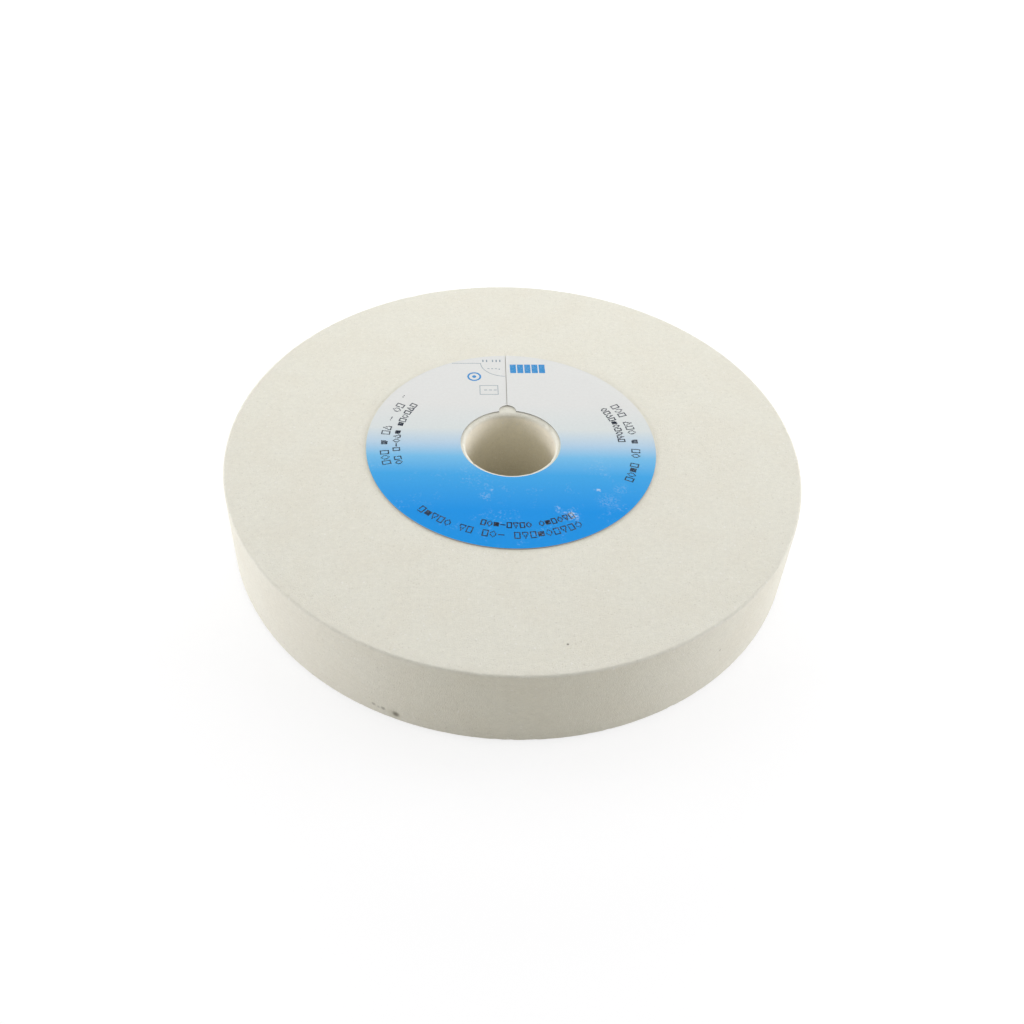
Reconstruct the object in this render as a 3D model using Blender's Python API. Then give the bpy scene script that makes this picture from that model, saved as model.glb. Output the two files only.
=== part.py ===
"""Straight vitrified grinding wheel with a paper blotter on each face.

The wheel lies flat with its printed blotter up. Units are metres. +Z is the
wheel's axis, +Y points at the half-round notch in the front blotter, and the
origin is the middle of the rear blotter's underside.
"""
import math

import bmesh
import bpy

# Abrasive body, 200 x 32 x 32 mm
WHEEL_DIAMETER = 0.200
WHEEL_THICKNESS = 0.032
BORE_DIAMETER = 0.032
RIM_EDGE_RADIUS = 0.0012
BORE_EDGE_RADIUS = 0.0004

# Paper blotters
BLOTTER_DIAMETER = 0.1015
BLOTTER_THICKNESS = 0.0004
BLOTTER_HOLE_MARGIN = 0.0016  # how far the paper's hole stands back from the bore
SEAT_GAP = 0.0003             # between the paper and the abrasive face

# Mounting mark in the front blotter
NOTCH_RADIUS = 0.0031         # half-round, centred on the edge of the hole
SLIT_WIDTH = 0.0002           # from the notch to the outer edge

# Print on the front blotter: pale at the notch's side, blue at the other
PRINT_FADE_TOP = 0.014        # where the pale paper starts to turn blue
PRINT_FADE_BOTTOM = -0.028    # where the blue is full

# Facets
TURN_STEPS = 160
EDGE_STEPS = 3
NOTCH_STEPS = 8
SMOOTH_ANGLE = math.radians(40)

# Colours, linear
ABRASIVE_CREAM = (0.78, 0.76, 0.66, 1.0)
PAPER_PALE = (0.76, 0.78, 0.77, 1.0)
PAPER_BLUE = (0.03, 0.32, 0.81, 1.0)
PAPER_BACK = (0.72, 0.71, 0.66, 1.0)
ABRASIVE_ROUGHNESS = 0.95
PRINT_ROUGHNESS = 0.55
PAPER_ROUGHNESS = 0.85

# Worked out from the sizes above
BORE_RADIUS = BORE_DIAMETER / 2
HOLE_RADIUS = BORE_RADIUS + BLOTTER_HOLE_MARGIN
BODY_BOTTOM = BLOTTER_THICKNESS + SEAT_GAP
BODY_TOP = BODY_BOTTOM + WHEEL_THICKNESS
FRONT_BLOTTER_BOTTOM = BODY_TOP + SEAT_GAP


def clear_scene():
    """Remove every object that the scene starts with."""
    for item in list(bpy.data.objects):
        bpy.data.objects.remove(item, do_unlink=True)


def arc(centre, radius, start_deg, end_deg, steps):
    """Points along an arc, both ends included."""
    points = []
    for step in range(steps + 1):
        angle = math.radians(start_deg + (end_deg - start_deg) * step / steps)
        points.append((centre[0] + radius * math.cos(angle), centre[1] + radius * math.sin(angle)))
    return points


def rounded_section(inner, outer, height, inner_round, outer_round):
    """Half section of a ring as (radius, z) points, with its four corners rounded."""
    section = arc((inner + inner_round, inner_round), inner_round, 180, 270, EDGE_STEPS)
    section += arc((outer - outer_round, outer_round), outer_round, 270, 360, EDGE_STEPS)
    section += arc((outer - outer_round, height - outer_round), outer_round, 0, 90, EDGE_STEPS)
    section += arc((inner + inner_round, height - inner_round), inner_round, 90, 180, EDGE_STEPS)
    return section


def notched_outline(outer, hole, notch, slit):
    """Outline of a paper ring whose hole has a notch at +Y, slit from there outward.

    The slit opens the ring, so one closed line runs round its outside, down one
    side of the slit, round the notch and the hole, and up the slit's other side.
    """
    half_slit = slit / 2
    outer_turn = math.degrees(math.asin(half_slit / outer))
    notch_turn = math.degrees(math.asin(half_slit / notch))
    # Angle at the ring's centre between the notch's middle and its end on the hole
    notch_span = 2 * math.degrees(math.asin(notch / (2 * hole)))
    notch_centre = (0.0, hole)
    outline = arc((0, 0), outer, 90 - outer_turn, outer_turn - 270, TURN_STEPS)
    outline += arc(notch_centre, notch, 90 + notch_turn, 180 + notch_span / 2, NOTCH_STEPS)
    outline += arc((0, 0), hole, 90 + notch_span, 450 - notch_span, TURN_STEPS)[1:-1]
    outline += arc(notch_centre, notch, -notch_span / 2, 90 - notch_turn, NOTCH_STEPS)
    return outline


def add_object(name, bm, material, height, parent):
    """Put a finished mesh in the scene at its height on the wheel's axis."""
    bmesh.ops.recalc_face_normals(bm, faces=bm.faces)
    mesh = bpy.data.meshes.new(name)
    bm.to_mesh(mesh)
    bm.free()
    mesh.materials.append(material)
    mesh.shade_smooth()
    mesh.set_sharp_from_angle(angle=SMOOTH_ANGLE)
    item = bpy.data.objects.new(name, mesh)
    item.location = (0.0, 0.0, height)
    item.parent = parent
    bpy.context.scene.collection.objects.link(item)
    return item


def turned(name, section, material, height, parent):
    """Spin a closed half section round the wheel's axis."""
    bm = bmesh.new()
    verts = [bm.verts.new((radius, 0.0, z)) for radius, z in section]
    edges = [bm.edges.new((verts[i - 1], verts[i])) for i in range(len(verts))]
    bmesh.ops.spin(
        bm,
        geom=verts + edges,
        cent=(0, 0, 0),
        axis=(0, 0, 1),
        angle=2 * math.pi,
        steps=TURN_STEPS,
        use_merge=True,
        use_duplicate=False,
    )
    return add_object(name, bm, material, height, parent)


def cut_sheet(name, outline, thickness, material, height, parent):
    """Extrude one closed outline into a flat sheet."""
    bm = bmesh.new()
    face = bm.faces.new([bm.verts.new((x, y, 0.0)) for x, y in outline])
    grown = bmesh.ops.extrude_face_region(bm, geom=[face])["geom"]
    raised = [part for part in grown if isinstance(part, bmesh.types.BMVert)]
    bmesh.ops.translate(bm, verts=raised, vec=(0, 0, thickness))
    return add_object(name, bm, material, height, parent)


def plain_material(name, colour, roughness):
    """Principled material of one colour."""
    material = bpy.data.materials.new(name)
    material.use_nodes = True
    shader = material.node_tree.nodes["Principled BSDF"]
    shader.inputs["Base Color"].default_value = colour
    shader.inputs["Roughness"].default_value = roughness
    shader.inputs["Metallic"].default_value = 0.0
    material.diffuse_color = colour
    return material


def faded_print_material():
    """Pale paper that fades to blue along Y."""
    material = plain_material("front_blotter", PAPER_PALE, PRINT_ROUGHNESS)
    tree = material.node_tree
    coords = tree.nodes.new("ShaderNodeTexCoord")
    split = tree.nodes.new("ShaderNodeSeparateXYZ")
    fade = tree.nodes.new("ShaderNodeMapRange")
    fade.interpolation_type = "SMOOTHSTEP"
    fade.inputs["From Min"].default_value = PRINT_FADE_TOP
    fade.inputs["From Max"].default_value = PRINT_FADE_BOTTOM
    colours = tree.nodes.new("ShaderNodeValToRGB")
    colours.color_ramp.elements[0].color = PAPER_PALE
    colours.color_ramp.elements[1].color = PAPER_BLUE
    tree.links.new(coords.outputs["Object"], split.inputs["Vector"])
    tree.links.new(split.outputs["Y"], fade.inputs["Value"])
    tree.links.new(fade.outputs["Result"], colours.inputs["Fac"])
    tree.links.new(colours.outputs["Color"], tree.nodes["Principled BSDF"].inputs["Base Color"])
    return material


def abrasive_wheel(parent):
    """One pressed and fired body with a plain bore and rounded edges."""
    section = rounded_section(
        BORE_RADIUS, WHEEL_DIAMETER / 2, WHEEL_THICKNESS, BORE_EDGE_RADIUS, RIM_EDGE_RADIUS
    )
    material = plain_material("abrasive", ABRASIVE_CREAM, ABRASIVE_ROUGHNESS)
    turned("abrasive_wheel", section, material, BODY_BOTTOM, parent)


def front_blotter(parent):
    """Printed paper on the upper flange seat."""
    outline = notched_outline(BLOTTER_DIAMETER / 2, HOLE_RADIUS, NOTCH_RADIUS, SLIT_WIDTH)
    material = faded_print_material()
    cut_sheet("front_blotter", outline, BLOTTER_THICKNESS, material, FRONT_BLOTTER_BOTTOM, parent)


def rear_blotter(parent):
    """Plain paper washer on the lower flange seat."""
    outer = BLOTTER_DIAMETER / 2
    section = [
        (HOLE_RADIUS, 0.0),
        (outer, 0.0),
        (outer, BLOTTER_THICKNESS),
        (HOLE_RADIUS, BLOTTER_THICKNESS),
    ]
    material = plain_material("rear_blotter", PAPER_BACK, PAPER_ROUGHNESS)
    turned("rear_blotter", section, material, 0.0, parent)


def build():
    """Make the wheel and its two blotters on one axis."""
    clear_scene()
    axis = bpy.data.objects.new("wheel_axis", None)
    bpy.context.scene.collection.objects.link(axis)
    abrasive_wheel(axis)
    front_blotter(axis)
    rear_blotter(axis)


build()
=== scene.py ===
"""Looks of a straight white grinding wheel that lies flat on a pale floor.

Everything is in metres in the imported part's frame: +Z is the wheel's axis and
+Y points at the notch in the printed blotter.
"""
import math
import random

import bmesh
import bpy
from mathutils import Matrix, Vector, noise


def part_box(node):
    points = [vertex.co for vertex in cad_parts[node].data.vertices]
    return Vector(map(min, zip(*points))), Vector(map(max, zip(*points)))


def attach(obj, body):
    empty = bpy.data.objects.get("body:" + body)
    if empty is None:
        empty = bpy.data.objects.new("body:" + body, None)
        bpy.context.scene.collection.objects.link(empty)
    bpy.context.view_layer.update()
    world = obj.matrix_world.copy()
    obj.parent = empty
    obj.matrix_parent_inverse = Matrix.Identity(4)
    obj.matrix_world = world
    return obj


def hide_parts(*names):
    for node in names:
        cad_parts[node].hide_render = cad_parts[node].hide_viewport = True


MM = 0.001

# Abrasive body
RIM_ROUND = 0.9 * MM
BORE_ROUND = 1.1 * MM
TURN_STEPS = 680
FACE_RINGS = 44
RIM_RINGS = 36
BACK_RINGS = 20
BORE_RINGS = 10
RIM_ROUND_STEPS = 8
BORE_ROUND_STEPS = 8
WEAR_REACH = 1.9 * MM      # how far from a corner the crumbled edge goes
RIM_WEAR = 0.45
BORE_WEAR = 1.0
CRUMBLE_DEPTH = 0.12 * MM
CRUMBLE_SIZE = 1.1 * MM
CHIP_DEPTH = 0.9 * MM
CHIP_SIZE = 2.0 * MM
CHIP_LEVEL = 0.24
RELIEF_DEPTH = 0.02 * MM
RELIEF_SIZE = 5.0 * MM

# Grain of the abrasive
GRAIN_SIZE = 0.34 * MM
GRAIN_BUMP = 0.12 * MM
CLUSTER_SIZE = 1.5 * MM
CLUMP_SIZE = 1.4 * MM
CLUMP_HEIGHT = 1.2         # where a grain's height is 1
CLOUD_SIZE = 16 * MM
FLECK_SIZE = 1.7 * MM
PORE_SIZE = 0.9 * MM
# painted shade: how far the pores are darkened
PORE_SHADE_MIX = 0.22
SPECK_WANDER = 0.5 * MM    # how ragged the edge of a speck is
STAIN_MIX = 0.25

# Colour of the bore's wall, by depth below the upper face: a warm tint, with painted light near the
# mouth and painted shade deeper down
BORE_TINT_START = 0.5 * MM
BORE_TINT_FULL = 2.5 * MM
# painted shade: the bore's wall darkens from this depth to the next one
BORE_SHADE_START = 7 * MM
BORE_SHADE_FULL = 27 * MM
BORE_SKIN_NEAR = 0.1 * MM  # the tint is full this close to the wall
BORE_SKIN_FAR = 0.3 * MM   # and gone this far from it

# Paper
NOTCH_RADIUS = 3.1 * MM
NOTCH_ANGLE = 91.1         # the notch sits a little off +Y
SLIT_END_ANGLE = 89.85     # where the slit reaches the sheet's edge
SKEW_REACH = 30.0          # how far round the sheet the slit's slant is felt, in degrees
SLIT_WIDTH = 0.2 * MM
PAPER_RISE = 0.42 * MM     # printed face above the abrasive face
PAPER_CLEARANCE = 0.03 * MM
SHEET_STEPS = 240
NOTCH_STEPS = 12
SHEET_RINGS = 14
LIP_RISE = 0.10 * MM       # the slit's raised lip
LIP_REACH = 0.5 * MM
PLAIN_ROUND = 0.08 * MM    # edges of the plain sheet
PLAIN_ROUND_STEPS = 2
PLAIN_RINGS = 16

# Print
INK_SINK = 0.02 * MM
INK_RISE = 0.012 * MM
DOT_RADIUS = 0.25 * MM
DOT_SIDES = 8
DOT_JITTER = 0.03 * MM
DOT_DROPOUT = 0.02
DOT_SIZES = (0.85, 1.1)    # smallest and largest dot, as a share of DOT_RADIUS
DOT_ROWS = 7
DOT_COLUMNS = 5
SHAPE_FILL = 0.80          # share of its pitch that a shape takes up
INK_SEED = 7

# Dust and rubs on the print
MOTTLE_SIZE = 1.0 * MM
DUST_CLOUD_SIZE = 9 * MM
DUST_GRIT_SIZE = 0.9 * MM
DUST_COVER = 0.22
DUST_ON_PRINT = 0.82
DUST_ON_INK = 0.8
RUB_WANDER_SIZE = 2.0 * MM
RUB_WANDER = (5 * MM, 5 * MM, 0.0)
RUB_GRAIN_SIZE = 0.7 * MM
WHOLE_RUB = 1.5 * MM       # rubs up to this radius aren't broken up

# Camera and floor
CAMERA_PLACE = (-22.09 * MM, -283.85 * MM, 283.42 * MM)
CAMERA_TURN = (48.053, -0.326, -0.269)
CAMERA_LENS = 37.82
CAMERA_SENSOR = 36.0
CAMERA_SHIFT = (0.0551, -0.0579)
CAMERA_CLIP = (0.01, 50.0)
FLOOR_HALF = 6.0
FLOOR_DROP = 0.05 * MM
SHADOW_REACH = 0.2         # round the middle, where the floor glows less and shows the shadow
WHITE_REACH = 0.6          # from here on the floor is seen as plain white

# Colours, linear
CREAM = (0.808, 0.794, 0.693, 1.0)
CREAM_WARM = (0.800, 0.780, 0.675, 1.0)
GRAIN_WHITE = (0.90, 0.89, 0.83, 1.0)
# colour of the dark grains, and the painted shade in the pores
DARK_GRAIN_AND_PORE_SHADE = (0.46, 0.42, 0.33, 1.0)
SPECK_BROWN = (0.115, 0.100, 0.070, 1.0)
STAIN_BROWN = (0.45, 0.41, 0.30, 1.0)
# Bore wall, warm: painted light near the mouth, painted shade deep down
BORE_PAINTED_LIGHT = (0.940, 0.890, 0.745, 1.0)
BORE_TAN_PAINTED_SHADE = (0.700, 0.655, 0.530, 1.0)
PAPER_GREY = (0.742, 0.750, 0.728, 1.0)
PAPER_HAZE = (0.690, 0.738, 0.730, 1.0)
PRINT_MIST = (0.470, 0.635, 0.775, 1.0)
PRINT_SKY = (0.178, 0.510, 0.805, 1.0)
PRINT_BLUE = (0.050, 0.382, 0.790, 1.0)
PRINT_DEEP = (0.004, 0.290, 0.780, 1.0)
# cut edges and underside of the printed sheet: the paper's core, darkened as painted shade on its edges
PAPER_CORE_AND_EDGE_SHADE = (0.40, 0.39, 0.35, 1.0)
PAPER_BACK = (0.66, 0.64, 0.57, 1.0)
DUST = (0.62, 0.74, 0.86, 1.0)
INK_DARK = (0.012, 0.020, 0.040, 1.0)
INK_BLUE = (0.030, 0.265, 0.600, 1.0)
INK_GREY = (0.18, 0.26, 0.32, 1.0)
FLOOR_PALE = (0.83, 0.81, 0.745, 1.0)
FLOOR_SEEN = (0.30, 0.30, 0.30, 1.0)
FLOOR_GLOW = 0.76
SURROUND = (1.0, 0.985, 0.935, 1.0)
WHITE = (1.0, 1.0, 1.0, 1.0)
LAMP_WHITE = (1.0, 1.0, 1.0)
SIDE_TINT = (0.92, 0.915, 1.0)

PRINT_TILT = 0.022         # slope of the fade's lines across the sheet

# The print's fade: distance from the middle towards the notch, and colour
PRINT_FADE = (
    (21.4 * MM, PAPER_GREY),
    (7.4 * MM, PAPER_HAZE),
    (-0.6 * MM, PRINT_MIST),
    (-7.6 * MM, PRINT_SKY),
    (-16.5 * MM, PRINT_BLUE),
    (-34.0 * MM, PRINT_DEEP),
)

# Plain shapes of dots, seven rows of five: square frame, diamond, dash, square, triangle
SHAPES = {
    "f": "11111 10001 10001 10001 10001 10001 11111",
    "l": "00100 01010 10001 10001 10001 01010 00100",
    "n": "00000 00000 00000 11111 00000 00000 00000",
    "s": "00000 11111 11111 11111 11111 11111 00000",
    "t": "00100 00100 01010 01010 10001 10001 11111",
}

# Rows of shapes: keys, radius, start angle, pitch, height
SHAPE_ROWS = (
    ("flf s ft n lf", 44.4 * MM, 195.2, 2.64 * MM, 3.2 * MM),
    ("lf fnlts sflftf", 40.2 * MM, 196.4, 2.28 * MM, 2.6 * MM),
    ("flf tfl s fl fslf", 43.8 * MM, 28.6, 2.50 * MM, 3.1 * MM),
    ("lftfslfltf", 39.3 * MM, 28.9, 1.96 * MM, 2.6 * MM),
    ("lftflsftf nlf ft lftsf", 45.0 * MM, -61.5, 2.60 * MM, 3.0 * MM),
    ("ftlfsl lftfnslf", 40.5 * MM, -61.5, 2.12 * MM, 2.6 * MM),
)

# Soft boxes: name, place, width and height, watts and tint
SOFT_BOXES = (
    ("top_light", (0.0, 0.18, 0.45), (0.9, 0.3), 1.04, LAMP_WHITE),
    ("back_light", (0.0, 1.10, 0.45), (1.0, 0.4), 5.2, LAMP_WHITE),
    ("left_light", (-1.15, -0.05, 0.25), (0.9, 0.45), 9.6, SIDE_TINT),
    ("right_light", (1.13, -0.05, 0.33), (0.9, 0.5), 9.7, SIDE_TINT),
)
SURROUND_STRENGTH = 0.305


def metres(*values):
    """Millimetres to metres."""
    return tuple(value * MM for value in values)


# Sizes read from the frame

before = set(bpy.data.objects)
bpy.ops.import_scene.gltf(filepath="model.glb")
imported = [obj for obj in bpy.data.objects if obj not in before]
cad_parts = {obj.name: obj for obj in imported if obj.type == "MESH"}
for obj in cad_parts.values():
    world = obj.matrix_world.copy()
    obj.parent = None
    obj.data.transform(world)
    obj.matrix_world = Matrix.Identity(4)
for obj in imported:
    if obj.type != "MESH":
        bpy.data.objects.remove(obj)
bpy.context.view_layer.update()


def inner_radius(name):
    """Radius of the hole in a CAD node."""
    return min(math.hypot(v.co.x, v.co.y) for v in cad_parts[name].data.vertices)


body_low, body_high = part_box("abrasive_wheel")
_, label_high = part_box("front_blotter")
rear_low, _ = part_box("rear_blotter")
wheel_radius = body_high.x
bore_radius = inner_radius("abrasive_wheel")
label_radius = label_high.x
hole_radius = inner_radius("rear_blotter")
print_level = body_high.z + PAPER_RISE


# Node helpers

def node(tree, kind, inputs=None, **settings):
    """Add a node, set its properties, and set or link its inputs."""
    made = tree.nodes.new(kind)
    for name, value in settings.items():
        setattr(made, name, value)
    for key, value in (inputs or {}).items():
        if isinstance(value, bpy.types.NodeSocket):
            tree.links.new(value, made.inputs[key])
        else:
            made.inputs[key].default_value = value
    return made


def math_node(tree, operation, first, second):
    """Value of a Math node."""
    return node(tree, "ShaderNodeMath", {0: first, 1: second}, operation=operation).outputs[0]


def ranged(tree, value, low, high, to_low=0.0, to_high=1.0, smooth=True):
    """Map a value from one range to another, clamped."""
    kind = "SMOOTHSTEP" if smooth else "LINEAR"
    inputs = {"Value": value, "From Min": low, "From Max": high, "To Min": to_low, "To Max": to_high}
    return node(tree, "ShaderNodeMapRange", inputs, interpolation_type=kind).outputs["Result"]


def mixed(tree, factor, first, second, blend="MIX"):
    """Mix two colours."""
    inputs = {0: factor, 6: first, 7: second}
    made = node(tree, "ShaderNodeMix", inputs, data_type="RGBA", blend_type=blend)
    return made.outputs[2]


def noise_value(tree, place, size, detail=2.0, roughness=0.5):
    """Noise with features of about this size, in metres."""
    inputs = {"Vector": place, "Scale": 1.0 / size, "Detail": detail, "Roughness": roughness}
    return node(tree, "ShaderNodeTexNoise", inputs).outputs[0]


def cells(tree, place, size):
    """Cells of about this size: distance from the middle, and one random value for each cell."""
    made = node(tree, "ShaderNodeTexVoronoi", {"Vector": place, "Scale": 1.0 / size})
    tone = node(tree, "ShaderNodeSeparateColor", {"Color": made.outputs["Color"]})
    return made.outputs["Distance"], tone.outputs["Red"], tone.outputs["Green"]


def spot(tree, place, centre, radius, softness):
    """1 inside a round spot, 0 outside it."""
    away = node(tree, "ShaderNodeVectorMath", {0: place, 1: centre}, operation="DISTANCE")
    return ranged(tree, away.outputs["Value"], radius, radius * (1 - softness))


def shaken(tree, place, size, reach, detail):
    """Place moved about by noise, by half of reach either way."""
    wander = node(tree, "ShaderNodeTexNoise", {"Vector": place, "Scale": 1 / size, "Detail": detail})
    inputs = {0: wander.outputs["Color"], 1: reach, 2: place}
    moved = node(tree, "ShaderNodeVectorMath", inputs, operation="MULTIPLY_ADD")
    inputs = {0: moved.outputs["Vector"], 1: [-value / 2 for value in reach]}
    return node(tree, "ShaderNodeVectorMath", inputs, operation="ADD").outputs["Vector"]


def new_material(name, roughness, specular):
    """Material with a Principled shader; gives the material, its tree and the shader."""
    material = bpy.data.materials.new(name)
    material.use_nodes = True
    shader = material.node_tree.nodes["Principled BSDF"]
    shader.inputs["Roughness"].default_value = roughness
    shader.inputs["Specular IOR Level"].default_value = specular
    return material, material.node_tree, shader


def object_place(tree):
    """Position in the part's frame."""
    return node(tree, "ShaderNodeTexCoord").outputs["Object"]


def bumped(tree, shader, height, distance, strength):
    """Connect a height to the shader's normal."""
    inputs = {"Height": height, "Distance": distance, "Strength": strength}
    bump = node(tree, "ShaderNodeBump", inputs)
    tree.links.new(bump.outputs["Normal"], shader.inputs["Normal"])


def seen_directly(tree):
    """1 for the camera's own view and for what is seen in gloss or through glass, else 0."""
    path = node(tree, "ShaderNodeLightPath")
    seen = math_node(tree, "MAXIMUM", path.outputs["Is Camera Ray"], path.outputs["Is Glossy Ray"])
    return math_node(tree, "MAXIMUM", seen, path.outputs["Is Transmission Ray"])


# Materials

# Dark specks in the abrasive: centre, radius and strength
SPECKS = (
    (metres(12.99, -88.29, 32.7), 0.52 * MM, 0.85),
    (metres(-37.9, -92.5, 4.0), 1.70 * MM, 0.70),
    (metres(-41.85, -90.82, 4.6), 1.10 * MM, 0.50),
    (metres(-44.82, -89.39, 4.9), 1.00 * MM, 0.40),
    (metres(-43.3, -90.10, 4.4), 0.80 * MM, 0.25),
    (metres(61.72, -78.68, 17.5), 0.70 * MM, 0.40),
)
STAIN_PLACE = metres(-38.6, -92.3, 4.0)
STAIN_RADIUS = 3.4 * MM


def bore_tint_painted_light_and_shade(tree, place, colour):
    """Colour with the bore's warmer wall in it: painted light near the mouth, and painted shade that
    darkens the wall with depth.
    """
    flat = node(tree, "ShaderNodeVectorMath", {0: place, 1: (1.0, 1.0, 0.0)}, operation="MULTIPLY")
    from_axis = node(tree, "ShaderNodeVectorMath", {0: flat.outputs[0]}, operation="LENGTH")
    level = node(tree, "ShaderNodeSeparateXYZ", {"Vector": place}).outputs["Z"]
    top = body_high.z
    depth_shade = ranged(tree, level, top - BORE_SHADE_START, top - BORE_SHADE_FULL, smooth=False)
    wall = mixed(tree, depth_shade, BORE_PAINTED_LIGHT, BORE_TAN_PAINTED_SHADE)
    below = ranged(tree, level, top - BORE_TINT_START, top - BORE_TINT_FULL)
    far, near = bore_radius + BORE_SKIN_FAR, bore_radius + BORE_SKIN_NEAR
    inside = ranged(tree, from_axis.outputs["Value"], far, near)
    return mixed(tree, math_node(tree, "MULTIPLY", inside, below), colour, wall)


def flecked(tree, place, colour):
    """Colour with a few larger pale grains and dark ones."""
    depth, pick, kind = cells(tree, place, FLECK_SIZE)
    fleck = math_node(
        tree, "MULTIPLY", ranged(tree, depth, 0.28, 0.10), ranged(tree, pick, 0.70, 0.76)
    )
    light = math_node(tree, "MULTIPLY", fleck, ranged(tree, kind, 0.35, 0.30, 0.0, 0.6))
    dark = math_node(tree, "MULTIPLY", fleck, ranged(tree, kind, 0.60, 0.65, 0.0, 0.20))
    colour = mixed(tree, light, colour, GRAIN_WHITE)
    return mixed(tree, dark, colour, DARK_GRAIN_AND_PORE_SHADE)


def pores(tree, place):
    """1 in the pores between the grains, 0 elsewhere."""
    depth, pick, _ = cells(tree, place, PORE_SIZE)
    return math_node(
        tree, "MULTIPLY", ranged(tree, depth, 0.30, 0.12), ranged(tree, pick, 0.76, 0.82)
    )


def specked(tree, place, colour):
    """Colour with the dark specks, and the stain round some of them."""
    ragged = shaken(tree, place, SPECK_WANDER, (SPECK_WANDER,) * 3, 2.0)
    dark = 0.0
    for centre, radius, strength in SPECKS:
        speck = math_node(tree, "MULTIPLY", spot(tree, ragged, centre, radius, 0.8), strength)
        dark = math_node(tree, "MAXIMUM", speck, dark)
    stain = spot(tree, ragged, STAIN_PLACE, STAIN_RADIUS, 0.9)
    colour = mixed(tree, math_node(tree, "MULTIPLY", stain, STAIN_MIX), colour, STAIN_BROWN)
    return mixed(tree, dark, colour, SPECK_BROWN)


def abrasive_material():
    """White aluminium oxide grains in a glassy bond, with pores between them."""
    material, tree, shader = new_material("abrasive", 0.9, 0.15)
    place = object_place(tree)
    depth, tone, rare = cells(tree, place, GRAIN_SIZE)
    cloud = noise_value(tree, place, CLOUD_SIZE, 3.0)
    cluster = noise_value(tree, place, CLUSTER_SIZE, 3.0, 0.6)
    colour = mixed(tree, ranged(tree, cloud, 0.38, 0.66), CREAM, CREAM_WARM)
    # warm bore wall, with painted light at the mouth and painted shade deeper in
    colour = bore_tint_painted_light_and_shade(tree, place, colour)
    colour = mixed(tree, ranged(tree, rare, 0.80, 0.95, 0.0, 0.25), colour, GRAIN_WHITE)
    shade = math_node(
        tree,
        "MULTIPLY",
        ranged(tree, tone, 0.0, 1.0, 0.98, 1.015, smooth=False),
        ranged(tree, cluster, 0.25, 0.75, 0.965, 1.035, smooth=False),
    )
    colour = mixed(tree, 1.0, colour, shade, "MULTIPLY")
    colour = flecked(tree, place, colour)
    pore = pores(tree, place)
    # painted shade in the pores
    colour = mixed(tree, math_node(tree, "MULTIPLY", pore, PORE_SHADE_MIX), colour, DARK_GRAIN_AND_PORE_SHADE)
    colour = specked(tree, place, colour)
    tree.links.new(colour, shader.inputs["Base Color"])
    tree.links.new(ranged(tree, tone, 0.0, 1.0, 0.72, 0.95), shader.inputs["Roughness"])
    height = math_node(tree, "SUBTRACT", ranged(tree, depth, 0.0, 0.8, 1.0, 0.0), pore)
    clumps = noise_value(tree, place, CLUMP_SIZE, 2.0, 0.6)
    height = math_node(tree, "ADD", height, math_node(tree, "MULTIPLY", clumps, CLUMP_HEIGHT))
    bumped(tree, shader, height, GRAIN_BUMP, 0.55)
    return material


# Rubbed places on the printed face: centre, radius and strength
SCUFFS = (
    (metres(28.3, -24.0, 33.1), 1.0 * MM, 0.9),
    (metres(-7.6, -24.0, 33.1), 1.1 * MM, 0.45),
    (metres(-9.5, -27.0, 33.1), 3.0 * MM, 0.30),
    (metres(31.5, -29.5, 33.1), 5.5 * MM, 0.20),
    (metres(36.0, -24.0, 33.1), 4.0 * MM, 0.20),
    (metres(18.8, -35.6, 33.1), 3.6 * MM, 0.95),
    (metres(14.5, -33.5, 33.1), 2.4 * MM, 0.45),
)


def dust_cover(tree, place):
    """Where rubs and dust lie on the printed face, from 0 to 1."""
    cloud = ranged(tree, noise_value(tree, place, DUST_CLOUD_SIZE, 3.0, 0.6), 0.50, 0.72)
    grit = ranged(tree, noise_value(tree, place, DUST_GRIT_SIZE, 2.0, 0.6), 0.50, 0.68)
    cover = math_node(tree, "MULTIPLY", math_node(tree, "MULTIPLY", cloud, grit), DUST_COVER)
    ragged = shaken(tree, place, RUB_WANDER_SIZE, RUB_WANDER, 4.0)
    broken = ranged(tree, noise_value(tree, place, RUB_GRAIN_SIZE, 2.0, 0.6), 0.42, 0.64)
    for centre, radius, strength in SCUFFS:
        rub = math_node(tree, "MULTIPLY", spot(tree, ragged, centre, radius, 0.9), strength)
        if radius > WHOLE_RUB:
            rub = math_node(tree, "MULTIPLY", rub, broken)
        cover = math_node(tree, "MAXIMUM", cover, rub)
    return cover


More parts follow.
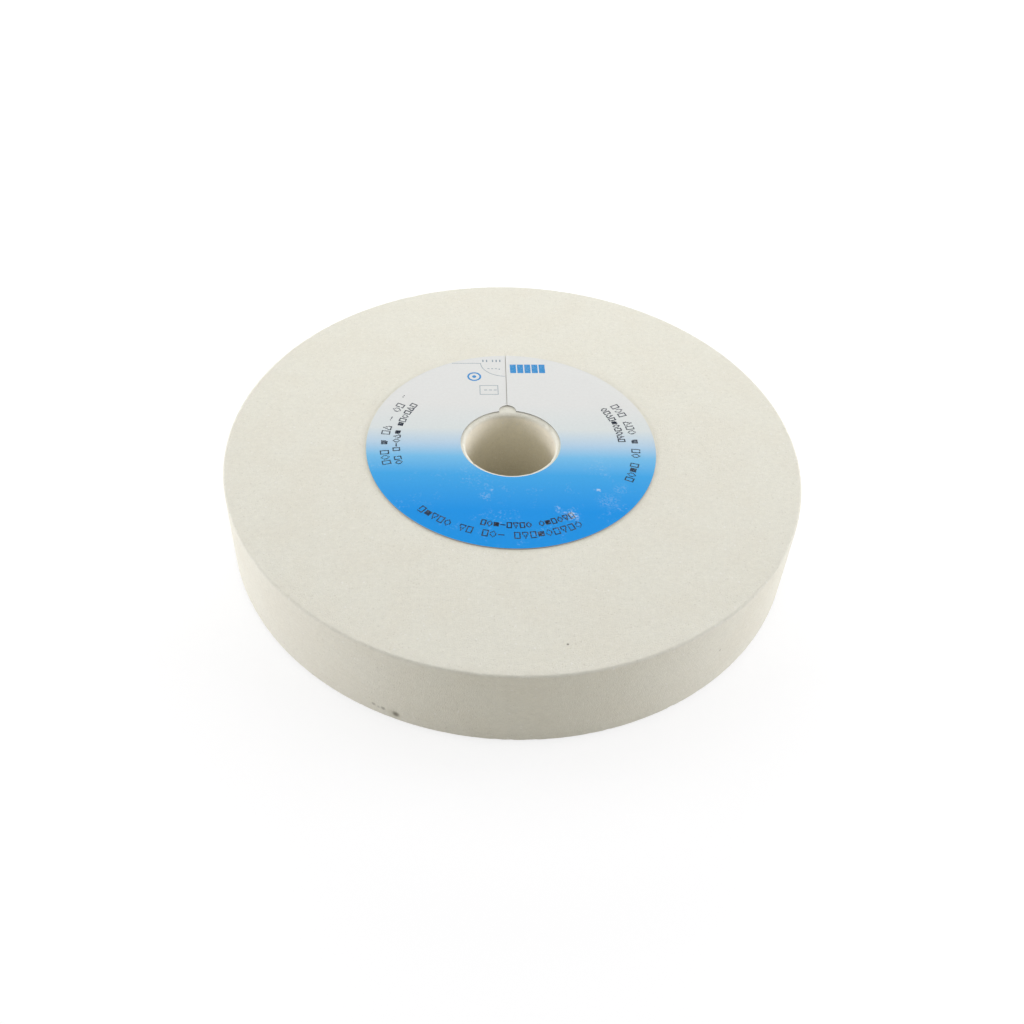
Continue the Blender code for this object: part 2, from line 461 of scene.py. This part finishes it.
def printed_material():
    """Pale grey blotter paper printed with a blue fade, dusty and a little scuffed."""
    material, tree, shader = new_material("printed_paper", 0.5, 0.1)
    place = object_place(tree)
    toward_notch = node(
        tree, "ShaderNodeVectorMath", {0: place, 1: (PRINT_TILT, 1.0, 0.0)}, operation="DOT_PRODUCT"
    )
    start, end = PRINT_FADE[0][0], PRINT_FADE[-1][0]
    along = ranged(tree, toward_notch.outputs["Value"], start, end, smooth=False)
    ramp = node(tree, "ShaderNodeValToRGB", {"Fac": along})
    stops = ramp.color_ramp.elements
    stops[0].color = PRINT_FADE[0][1]
    stops[1].color = PRINT_FADE[-1][1]
    for place_y, colour in PRINT_FADE[1:-1]:
        stops.new((start - place_y) / (start - end)).color = colour
    mottle = noise_value(tree, place, MOTTLE_SIZE, 3.0)
    shade = ranged(tree, mottle, 0.25, 0.75, 0.98, 1.02, smooth=False)
    colour = mixed(tree, 1.0, ramp.outputs["Color"], shade, "MULTIPLY")
    inked = ranged(tree, along, 0.40, 0.65)
    dusty = math_node(tree, "MULTIPLY", dust_cover(tree, place), inked)
    colour = mixed(tree, math_node(tree, "MULTIPLY", dusty, DUST_ON_PRINT), colour, DUST)
    tree.links.new(colour, shader.inputs["Base Color"])
    tree.links.new(ranged(tree, dusty, 0.0, 1.0, 0.48, 0.8), shader.inputs["Roughness"])
    bumped(tree, shader, mottle, 0.02 * MM, 0.4)
    return material


def paper_material(name, base):
    """Uncoated blotter paper with short fibres."""
    material, tree, shader = new_material(name, 0.9, 0.2)
    place = object_place(tree)
    fibre_place = node(
        tree, "ShaderNodeMapping", {"Vector": place, "Scale": (1.0, 3.5, 1.0), "Rotation": (0, 0, 0.6)}
    ).outputs["Vector"]
    fibre = noise_value(tree, fibre_place, 1.2 * MM, 4.0, 0.65)
    cloud = noise_value(tree, place, 14 * MM, 2.0)
    shade = math_node(
        tree,
        "MULTIPLY",
        ranged(tree, fibre, 0.3, 0.7, 0.93, 1.05, smooth=False),
        ranged(tree, cloud, 0.3, 0.7, 0.97, 1.03, smooth=False),
    )
    tree.links.new(mixed(tree, 1.0, base, shade, "MULTIPLY"), shader.inputs["Base Color"])
    bumped(tree, shader, fibre, 0.03 * MM, 0.6)
    return material


def ink_material(name, base, fade):
    """Printed ink, thinner here and there by up to fade."""
    material, tree, shader = new_material(name, 0.55, 0.1)
    place = object_place(tree)
    thin = ranged(tree, noise_value(tree, place, 0.6 * MM, 2.0), 0.45, 0.75, 0.0, fade)
    colour = mixed(tree, thin, base, PAPER_GREY)
    dusty = math_node(tree, "MULTIPLY", dust_cover(tree, place), DUST_ON_INK)
    tree.links.new(mixed(tree, dusty, colour, DUST), shader.inputs["Base Color"])
    bumped(tree, shader, thin, 0.01 * MM, 0.3)
    return material


def floor_material():
    """Pale floor that the camera sees as white, with the wheel's soft shadow near the middle."""
    material = bpy.data.materials.new("floor_white")
    material.use_nodes = True
    tree = material.node_tree
    tree.nodes.clear()
    seen = seen_directly(tree)
    plain = node(tree, "ShaderNodeBsdfDiffuse", {"Color": FLOOR_PALE})
    pale = node(tree, "ShaderNodeBsdfDiffuse", {"Color": FLOOR_SEEN})
    away = node(tree, "ShaderNodeVectorMath", {0: object_place(tree)}, operation="LENGTH")
    lift = ranged(tree, away.outputs["Value"], SHADOW_REACH, WHITE_REACH, FLOOR_GLOW, 1.0)
    glow = node(tree, "ShaderNodeEmission", {"Color": WHITE, "Strength": lift})
    lifted = node(tree, "ShaderNodeAddShader", {0: pale.outputs[0], 1: glow.outputs[0]})
    both = node(tree, "ShaderNodeMixShader", {0: seen, 1: plain.outputs[0], 2: lifted.outputs[0]})
    node(tree, "ShaderNodeOutputMaterial", {"Surface": both.outputs[0]})
    return material


# Mesh helpers

def add_piece(name, mesh, materials, smooth_angle=40):
    """Put a finished mesh in the scene on the root body."""
    for material in materials:
        mesh.materials.append(material)
    mesh.shade_smooth()
    mesh.set_sharp_from_angle(angle=math.radians(smooth_angle))
    piece = bpy.data.objects.new(name, mesh)
    bpy.context.scene.collection.objects.link(piece)
    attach(piece, "root")
    return piece


def quarter_round(radius, z, size, start_deg, steps):
    """Rows of (radius, z, normal) round one corner of a half section."""
    rows = []
    for step in range(steps + 1):
        angle = math.radians(start_deg + 90 * step / steps)
        across, up = math.cos(angle), math.sin(angle)
        rows.append((radius + size * across, z + size * up, across, up))
    return rows


def straight(start, end, normal, count):
    """Rows along a straight side, closer together near its ends."""
    rows = []
    for step in range(1, count):
        share = (1 - math.cos(math.pi * step / count)) / 2
        radius = start[0] + (end[0] - start[0]) * share
        z = start[1] + (end[1] - start[1]) * share
        rows.append((radius, z, *normal))
    return rows


def body_section(inner, outer, bottom, top):
    """Half section of the abrasive body, anticlockwise from the bore's lower edge."""
    bore, rim = BORE_ROUND, RIM_ROUND
    rows = quarter_round(inner + bore, bottom + bore, bore, 180, BORE_ROUND_STEPS)
    rows += straight((inner + bore, bottom), (outer - rim, bottom), (0, -1), BACK_RINGS)
    rows += quarter_round(outer - rim, bottom + rim, rim, 270, RIM_ROUND_STEPS)
    rows += straight((outer, bottom + rim), (outer, top - rim), (1, 0), RIM_RINGS)
    rows += quarter_round(outer - rim, top - rim, rim, 0, RIM_ROUND_STEPS)
    rows += straight((outer - rim, top), (inner + bore, top), (0, 1), FACE_RINGS)
    rows += quarter_round(inner + bore, top - bore, bore, 90, BORE_ROUND_STEPS)
    rows += straight((inner, top - bore), (inner, bottom + bore), (-1, 0), BORE_RINGS)
    return rows


def closed_grid(name, points, columns, rows):
    """Mesh of a grid that closes on itself both ways; points run row by row in each column."""
    faces = []
    for column in range(columns):
        here, there = column * rows, (column + 1) % columns * rows
        for row in range(rows):
            after = (row + 1) % rows
            faces.append((here + row, there + row, there + after, here + after))
    mesh = bpy.data.meshes.new(name)
    mesh.from_pydata(points, [], faces)
    return mesh


def worn_depth(point, wear):
    """How far a point lies below the true surface: faint relief, and crumbled corners."""
    depth = RELIEF_DEPTH * (0.5 + 0.5 * noise.noise(point / RELIEF_SIZE))
    if wear > 0:
        crumble = 0.5 + 0.5 * noise.noise(point / CRUMBLE_SIZE)
        chip = max(0.0, noise.noise(point / CHIP_SIZE) - CHIP_LEVEL)
        depth += wear * (CRUMBLE_DEPTH * crumble + CHIP_DEPTH * chip)
    return depth


def abrasive_body(material):
    """The moulded wheel, with crumbled corners."""
    section = body_section(bore_radius, wheel_radius, body_low.z, body_high.z)
    wears = []
    for radius, z, _, _ in section:
        side, strength = (bore_radius, BORE_WEAR)
        if radius > (bore_radius + wheel_radius) / 2:
            side, strength = (wheel_radius, RIM_WEAR)
        near = min(math.hypot(radius - side, z - height) for height in (body_low.z, body_high.z))
        wears.append(strength * max(0.0, 1 - near / WEAR_REACH))
    points = []
    for column in range(TURN_STEPS):
        angle = 2 * math.pi * column / TURN_STEPS
        across = Vector((math.cos(angle), math.sin(angle), 0))
        for (radius, z, normal_r, normal_z), wear in zip(section, wears):
            point = across * radius + Vector((0, 0, z))
            normal = across * normal_r + Vector((0, 0, normal_z))
            points.append(point - normal * worn_depth(point, wear))
    mesh = closed_grid("abrasive_body", points, TURN_STEPS, len(section))
    piece = add_piece("abrasive_body", mesh, [material], 80)
    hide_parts("abrasive_wheel")


def arc(centre, radius, start_deg, end_deg, steps):
    """Points along an arc, both ends included."""
    points = []
    for step in range(steps + 1):
        angle = math.radians(start_deg + (end_deg - start_deg) * step / steps)
        across, up = math.cos(angle), math.sin(angle)
        points.append(Vector((centre[0] + radius * across, centre[1] + radius * up)))
    return points


def sheet_inner_edge():
    """Inner edge of the printed sheet, clockwise from the slit's right side to its left."""
    notch_turn = math.degrees(math.asin(SLIT_WIDTH / 2 / NOTCH_RADIUS))
    span = 2 * math.degrees(math.asin(NOTCH_RADIUS / (2 * hole_radius)))
    middle = arc((0, 0), hole_radius, NOTCH_ANGLE, NOTCH_ANGLE, 1)[0]
    edge = arc(middle, NOTCH_RADIUS, NOTCH_ANGLE - notch_turn, NOTCH_ANGLE - 90 - span / 2, NOTCH_STEPS)
    edge += arc((0, 0), hole_radius, NOTCH_ANGLE - span, NOTCH_ANGLE + span - 360, SHEET_STEPS)[1:-1]
    edge += arc(middle, NOTCH_RADIUS, NOTCH_ANGLE + 90 + span / 2, NOTCH_ANGLE + notch_turn, NOTCH_STEPS)
    return edge


def sheet_outer_edge(inner):
    """Outer edge of the printed sheet: a point for each inner one, skewed to meet the slit."""
    slit_turn = math.degrees(math.asin(SLIT_WIDTH / 2 / label_radius))
    edge = []
    for i, point in enumerate(inner):
        angle = math.degrees(math.atan2(point.y, point.x))
        away = (angle - NOTCH_ANGLE + 180) % 360 - 180
        near = max(0.0, 1 - abs(away) / SKEW_REACH)
        angle += near * (SLIT_END_ANGLE - NOTCH_ANGLE)
        if i == 0:
            angle = SLIT_END_ANGLE - slit_turn
        if i == len(inner) - 1:
            angle = SLIT_END_ANGLE + slit_turn
        edge.append(arc((0, 0), label_radius, angle, angle, 1)[0])
    return edge


def lip_height(right_side, from_slit):
    """Rise of the paper beside the slit's right side."""
    if not right_side:
        return 0.0
    return LIP_RISE * math.exp(-((from_slit / LIP_REACH) ** 2))


def printed_sheet(print_face, paper):
    """Front blotter: a paper ring with a notch in its hole, slit from there to its edge."""
    inner = sheet_inner_edge()
    outer = sheet_outer_edge(inner)
    bm = bmesh.new()
    low_z = body_high.z + PAPER_CLEARANCE
    columns = []
    for i, (near, far) in enumerate(zip(inner, outer)):
        tops, lows = [], []
        for ring in range(SHEET_RINGS + 1):
            point = near.lerp(far, ring / SHEET_RINGS)
            slit_point = inner[0].lerp(outer[0], ring / SHEET_RINGS)
            lip = lip_height(i < len(inner) / 4, (point - slit_point).length)
            tops.append(bm.verts.new((point.x, point.y, print_level + lip)))
            lows.append(bm.verts.new((point.x, point.y, low_z)))
        columns.append((tops, lows))
    for (tops, lows), (next_tops, next_lows) in zip(columns, columns[1:]):
        for ring in range(SHEET_RINGS):
            bm.faces.new((tops[ring], tops[ring + 1], next_tops[ring + 1], next_tops[ring]))
            edge = (lows[ring], next_lows[ring], next_lows[ring + 1], lows[ring + 1])
            bm.faces.new(edge).material_index = 1
        for ring in (0, SHEET_RINGS):
            wall = (tops[ring], next_tops[ring], next_lows[ring], lows[ring])
            bm.faces.new(wall).material_index = 1
    for tops, lows in (columns[0], columns[-1]):
        for ring in range(SHEET_RINGS):
            wall = (tops[ring], lows[ring], lows[ring + 1], tops[ring + 1])
            bm.faces.new(wall).material_index = 1
    bmesh.ops.recalc_face_normals(bm, faces=bm.faces)
    mesh = bpy.data.meshes.new("printed_blotter")
    bm.to_mesh(mesh)
    bm.free()
    piece = add_piece("printed_blotter", mesh, [print_face, paper])
    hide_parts("front_blotter")


def plain_sheet(paper):
    """Rear blotter: a plain paper washer under the wheel."""
    inner, outer = hole_radius + PLAIN_ROUND, label_radius - PLAIN_ROUND
    bottom, top = rear_low.z, body_low.z - PAPER_CLEARANCE
    low, high = bottom + PLAIN_ROUND, top - PLAIN_ROUND
    rows = quarter_round(inner, low, PLAIN_ROUND, 180, PLAIN_ROUND_STEPS)
    rows += straight((inner, bottom), (outer, bottom), (0, -1), PLAIN_RINGS)
    rows += quarter_round(outer, low, PLAIN_ROUND, 270, PLAIN_ROUND_STEPS)
    rows += quarter_round(outer, high, PLAIN_ROUND, 0, PLAIN_ROUND_STEPS)
    rows += straight((outer, top), (inner, top), (0, 1), PLAIN_RINGS)
    rows += quarter_round(inner, high, PLAIN_ROUND, 90, PLAIN_ROUND_STEPS)
    points = []
    for column in range(SHEET_STEPS):
        angle = 2 * math.pi * column / SHEET_STEPS
        for radius, z, _, _ in rows:
            points.append(Vector((radius * math.cos(angle), radius * math.sin(angle), z)))
    mesh = closed_grid("plain_blotter", points, SHEET_STEPS, len(rows))
    piece = add_piece("plain_blotter", mesh, [paper])
    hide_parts("rear_blotter")


# Print, as thin closed solids of ink on the paper

LONE_DOTS = (metres(-38.6, 25.4), metres(-38.2, 26.2))

BLOCK_COUNT = 5
BLOCK_CORNER = metres(1.6, 39.9)    # lower left corner of the first block
BLOCK_SIZE = metres(2.3, 5.3)
BLOCK_PITCH = 2.75 * MM

RING_MIDDLE = metres(-12.1, 37.7)
RING_RADIUS = 2.3 * MM
RING_WIDTH = 0.7 * MM
RING_DOT_RADIUS = 0.8 * MM

HAIR_WIDTH = 0.2 * MM
FRAME_LINE = (metres(-20.5, 45.95), metres(-9.6, 45.95))
OVAL_MIDDLE = metres(0.0, 46.0)
OVAL_REACH = metres(9.5, 8.1)
OVAL_ENDS = (180, 267)              # in degrees, as seen before the circle is stretched
BOX_CORNERS = (metres(-10.1, 27.0), metres(-3.4, 27.0), metres(-3.4, 32.3), metres(-10.1, 32.3))
FRAME_DOT = metres(-2.5, 42.3)
FRAME_DOT_RADIUS = 0.3 * MM

# Rows of ticks, in millimetres: x of each, y of the row, reach along x and y, and width
TICK_ROWS = (
    ((-8.6, -6.8, -5.0), 29.6, (1.2, 0.0), 0.3),
    ((-7.0, -5.6, -4.2), 42.6, (0.8, 0.0), 0.3),
    ((-8.6, -7.2, -4.9, -3.5, -2.1), 46.8, (0.0, 1.4), 0.45),
)


def ink_levels():
    """Lowest and highest level of the ink."""
    return print_level - INK_SINK, print_level + INK_RISE


def ink_patch(bm, outline):
    """Solid patch with a convex outline."""
    low_z, high_z = ink_levels()
    lows = [bm.verts.new((point[0], point[1], low_z)) for point in outline]
    highs = [bm.verts.new((point[0], point[1], high_z)) for point in outline]
    bm.faces.new(highs)
    bm.faces.new(lows[::-1])
    for i in range(len(outline)):
        bm.faces.new((lows[i - 1], lows[i], highs[i], highs[i - 1]))


def ink_line(bm, points, width, closed=False):
    """Solid line of one width along a path."""
    low_z, high_z = ink_levels()
    count = len(points)
    sections = []
    for i, point in enumerate(points):
        before = points[i - 1] if closed or i else point
        after = points[(i + 1) % count] if closed or i < count - 1 else point
        first, second = (point - before), (after - point)
        first = first.normalized() if first.length else second.normalized()
        second = second.normalized() if second.length else first
        along = (first + second).normalized()
        side = Vector((-along.y, along.x))
        reach = width / 2 / max(0.3, along.dot(first))
        left, right = point + side * reach, point - side * reach
        sections.append([
            bm.verts.new((left.x, left.y, low_z)),
            bm.verts.new((right.x, right.y, low_z)),
            bm.verts.new((right.x, right.y, high_z)),
            bm.verts.new((left.x, left.y, high_z)),
        ])
    last = count if closed else count - 1
    for i in range(last):
        here, there = sections[i], sections[(i + 1) % count]
        for k in range(4):
            bm.faces.new((here[k - 1], here[k], there[k], there[k - 1]))
    if not closed:
        bm.faces.new(sections[0])
        bm.faces.new(sections[-1][::-1])


def ink_piece(name, bm, material):
    """Finish a piece of print."""
    bmesh.ops.recalc_face_normals(bm, faces=bm.faces)
    mesh = bpy.data.meshes.new(name)
    bm.to_mesh(mesh)
    bm.free()
    add_piece(name, mesh, [material])


def dot(bm, centre, radius):
    """Round dot of ink."""
    ink_patch(bm, arc(centre, radius, 0, 360, DOT_SIDES)[:-1])


def shape_row(bm, row, draw):
    """Small dotted shapes along an arc, laid clockwise with their tops outward."""
    keys, radius, start_deg, pitch, height = row
    step_out = height / DOT_ROWS
    step_along = pitch * SHAPE_FILL / DOT_COLUMNS
    for place, key in enumerate(keys):
        if key == " ":
            continue
        angle = math.radians(start_deg) - (place + 0.5) * pitch / radius
        out = Vector((math.cos(angle), math.sin(angle)))
        along = Vector((out.y, -out.x))
        for line, dots in enumerate(SHAPES[key].split()):
            for column, mark in enumerate(dots):
                shake = Vector((draw.uniform(-1, 1), draw.uniform(-1, 1))) * DOT_JITTER
                if mark == "0" or draw.random() < DOT_DROPOUT:
                    continue
                up = (DOT_ROWS // 2 - line) * step_out
                across = (column - DOT_COLUMNS // 2) * step_along
                centre = out * (radius + up) + along * across
                dot(bm, centre + shake, DOT_RADIUS * draw.uniform(*DOT_SIZES))


def printed_shapes(material):
    """All the rows of dotted shapes."""
    draw = random.Random(INK_SEED)
    bm = bmesh.new()
    for row in SHAPE_ROWS:
        shape_row(bm, row, draw)
    for centre in LONE_DOTS:
        dot(bm, centre, DOT_RADIUS)
    ink_piece("printed_shapes", bm, material)


def blue_marks(material):
    """A bar of blue blocks and a small ring with a dot."""
    bm = bmesh.new()
    low = BLOCK_CORNER[1]
    high = low + BLOCK_SIZE[1]
    for i in range(BLOCK_COUNT):
        left = BLOCK_CORNER[0] + BLOCK_PITCH * i
        right = left + BLOCK_SIZE[0]
        ink_patch(bm, [(left, low), (right, low), (right, high), (left, high)])
    ink_line(bm, arc(RING_MIDDLE, RING_RADIUS, 0, 360, 40)[:-1], RING_WIDTH, closed=True)
    ink_patch(bm, arc(RING_MIDDLE, RING_DOT_RADIUS, 0, 360, 20)[:-1])
    ink_piece("blue_marks", bm, material)


def fine_lines(material):
    """Thin grey frame lines and ticks."""
    bm = bmesh.new()
    ink_line(bm, [Vector(end) for end in FRAME_LINE], HAIR_WIDTH)
    middle, reach = Vector(OVAL_MIDDLE), Vector(OVAL_REACH)
    oval = [middle + point * reach for point in arc((0, 0), 1.0, *OVAL_ENDS, 20)]
    ink_line(bm, oval, HAIR_WIDTH)
    ink_line(bm, [Vector(corner) for corner in BOX_CORNERS], HAIR_WIDTH, closed=True)
    for places, level, (across, up), width in TICK_ROWS:
        for x in places:
            ends = metres(x, level), metres(x + across, level + up)
            ink_line(bm, [Vector(end) for end in ends], width * MM)
    dot(bm, FRAME_DOT, FRAME_DOT_RADIUS)
    ink_piece("fine_lines", bm, material)


# Stage

def floor():
    """Wide pale floor under the wheel."""
    half, level = FLOOR_HALF, rear_low.z - FLOOR_DROP
    mesh = bpy.data.meshes.new("floor")
    corners = [(-half, -half, level), (half, -half, level), (half, half, level), (-half, half, level)]
    mesh.from_pydata(corners, [], [(0, 1, 2, 3)])
    mesh.materials.append(floor_material())
    plane = bpy.data.objects.new("floor", mesh)
    bpy.context.scene.collection.objects.link(plane)


def soft_box(name, place, size, power, colour):
    """Rectangular area lamp aimed at the middle of the wheel's underside."""
    lamp = bpy.data.lights.new(name, "AREA")
    lamp.shape = "RECTANGLE"
    lamp.size, lamp.size_y = size
    lamp.energy = power
    lamp.color = colour
    item = bpy.data.objects.new(name, lamp)
    item.location = place
    item.rotation_euler = Vector(place).to_track_quat("Z", "Y").to_euler()
    bpy.context.scene.collection.objects.link(item)


def lights():
    """Large soft boxes above, behind and at both sides, and an even surround."""
    for box in SOFT_BOXES:
        soft_box(*box)
    world = bpy.data.worlds.new("studio")
    bpy.context.scene.world = world
    world.use_nodes = True
    tree = world.node_tree
    tree.nodes.clear()
    seen = seen_directly(tree)
    inputs = {"Color": SURROUND, "Strength": SURROUND_STRENGTH}
    surround = node(tree, "ShaderNodeBackground", inputs)
    backdrop = node(tree, "ShaderNodeBackground", {"Color": WHITE, "Strength": 1.0})
    inputs = {0: seen, 1: surround.outputs[0], 2: backdrop.outputs[0]}
    both = node(tree, "ShaderNodeMixShader", inputs)
    node(tree, "ShaderNodeOutputWorld", {"Surface": both.outputs[0]})


def camera():
    """Camera at the photograph's place, angle and framing."""
    data = bpy.data.cameras.new("camera")
    data.sensor_width = CAMERA_SENSOR
    data.lens = CAMERA_LENS
    data.shift_x, data.shift_y = CAMERA_SHIFT
    data.clip_start, data.clip_end = CAMERA_CLIP
    item = bpy.data.objects.new("camera", data)
    item.location = CAMERA_PLACE
    item.rotation_euler = [math.radians(turn) for turn in CAMERA_TURN]
    bpy.context.scene.collection.objects.link(item)
    bpy.context.scene.camera = item


bpy.context.scene.view_settings.view_transform = "Standard"
camera()
lights()
floor()
abrasive_body(abrasive_material())
# the printed sheet's cut edges carry painted shade
printed_sheet(printed_material(), paper_material("paper_core_and_edge_shade", PAPER_CORE_AND_EDGE_SHADE))
plain_sheet(paper_material("plain_paper", PAPER_BACK))
printed_shapes(ink_material("dark_ink", INK_DARK, 0.12))
blue_marks(ink_material("blue_ink", INK_BLUE, 0.15))
fine_lines(ink_material("grey_ink", INK_GREY, 0.2))
